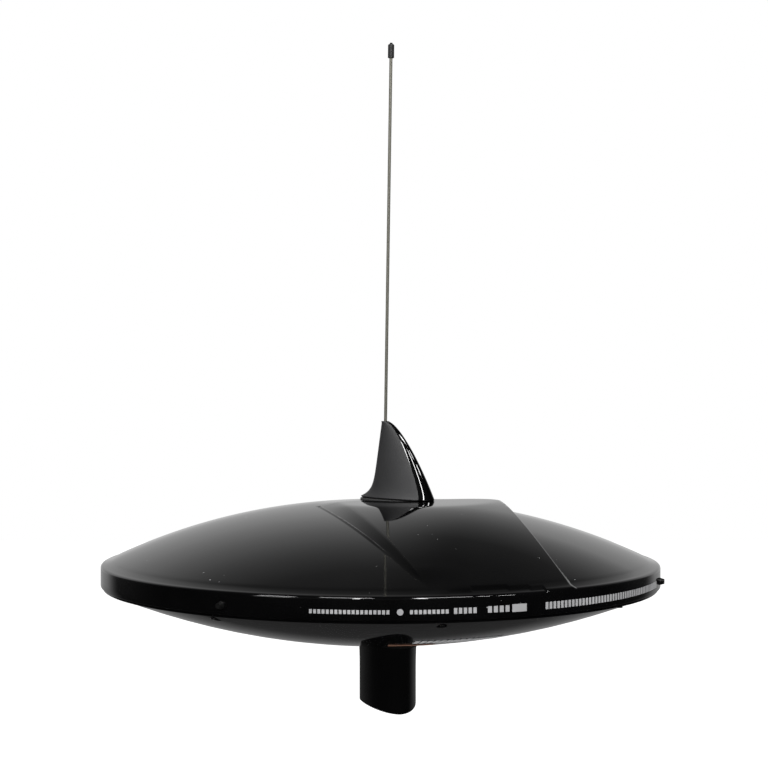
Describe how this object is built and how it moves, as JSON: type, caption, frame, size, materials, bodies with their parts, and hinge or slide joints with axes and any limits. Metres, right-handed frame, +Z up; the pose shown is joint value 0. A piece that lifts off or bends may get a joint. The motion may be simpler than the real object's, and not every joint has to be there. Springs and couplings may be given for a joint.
{
  "type": "omnidirectional antenna",
  "caption": "Flat disc-shaped omnidirectional antenna with a shark-fin cover, a thin screw-in whip and a streamlined stem with a threaded mast socket.",
  "frame": {"origin": "centre of the mast socket's mouth, at the foot of the stem", "axes": "+Z up along the mast socket and the disc's axis, -Y towards the side with the raised hood, +X to its right"},
  "size_m": [0.35, 0.35, 0.422],
  "materials": {
    "gloss_black": "high gloss moulded",
    "rubber_black": "matt",
    "stainless": "satin",
    "whip_steel": "satin drawn wire",
    "cap_black": "satin",
    "brass": "machined",
    "wire_red": "smooth",
    "aluminium": "rolled",
    "board_green": "solder mask",
    "tinned_steel": "bright tinned",
    "ferrite": "dull grey",
    "white_nylon": "moulded",
    "coax_black": "jacket",
    "nickel": "nickel plate"
  },
  "bodies": {
    "hull": {"top_shell": "gloss_black", "bottom_shell": "gloss_black", "fin_cover": "gloss_black", "mast_stem": "gloss_black", "rim_gasket": "rubber_black", "fin_gasket": "rubber_black", "stem_gasket": "rubber_black", "rim_plugs": "rubber_black", "vent_plug": "rubber_black", "rim_screws": "stainless", "fin_screws": "stainless", "plate_screws": "stainless", "board_screws": "stainless", "arm_screws": "stainless", "stem_screws": "stainless", "whip_insert": "brass", "board_standoffs": "brass", "whip_lead": "wire_red", "ground_plate": "aluminium", "dipole_arm_front": "aluminium", "dipole_arm_back": "aluminium", "dipole_arm_left": "aluminium", "dipole_arm_right": "aluminium", "amplifier_board": "board_green", "shield_can": "tinned_steel", "balun_core": "ferrite", "element_spider": "white_nylon", "feed_pins": "tinned_steel", "coax_pigtail": "coax_black", "mast_insert": "stainless", "f_connector": "nickel", "f_connector_core": "white_nylon", "f_connector_nut": "nickel", "f_connector_washer": "nickel"},
    "whip_lift": {"whip_seal": "rubber_black"},
    "whip": {"whip_stud": "whip_steel", "whip_rod": "whip_steel", "whip_tip_cap": "cap_black"}
  },
  "joints": [
    {"name": "whip_rise", "type": "slide", "parent": "hull", "child": "whip_lift", "axis": [0.015, 0, 0.9999], "range_m": [0, 0.0036]},
    {"name": "whip_screw", "type": "hinge", "parent": "whip_lift", "child": "whip", "pos_m": [-0.00178, -0.0136, 0.1414], "axis": [0.015, 0, 0.9999], "range_deg": [0, 2880]}
  ],
  "couplings": [
    {"joint": "whip_rise", "follows": "whip_screw", "m_per_rad": 0.00007162}
  ]
}
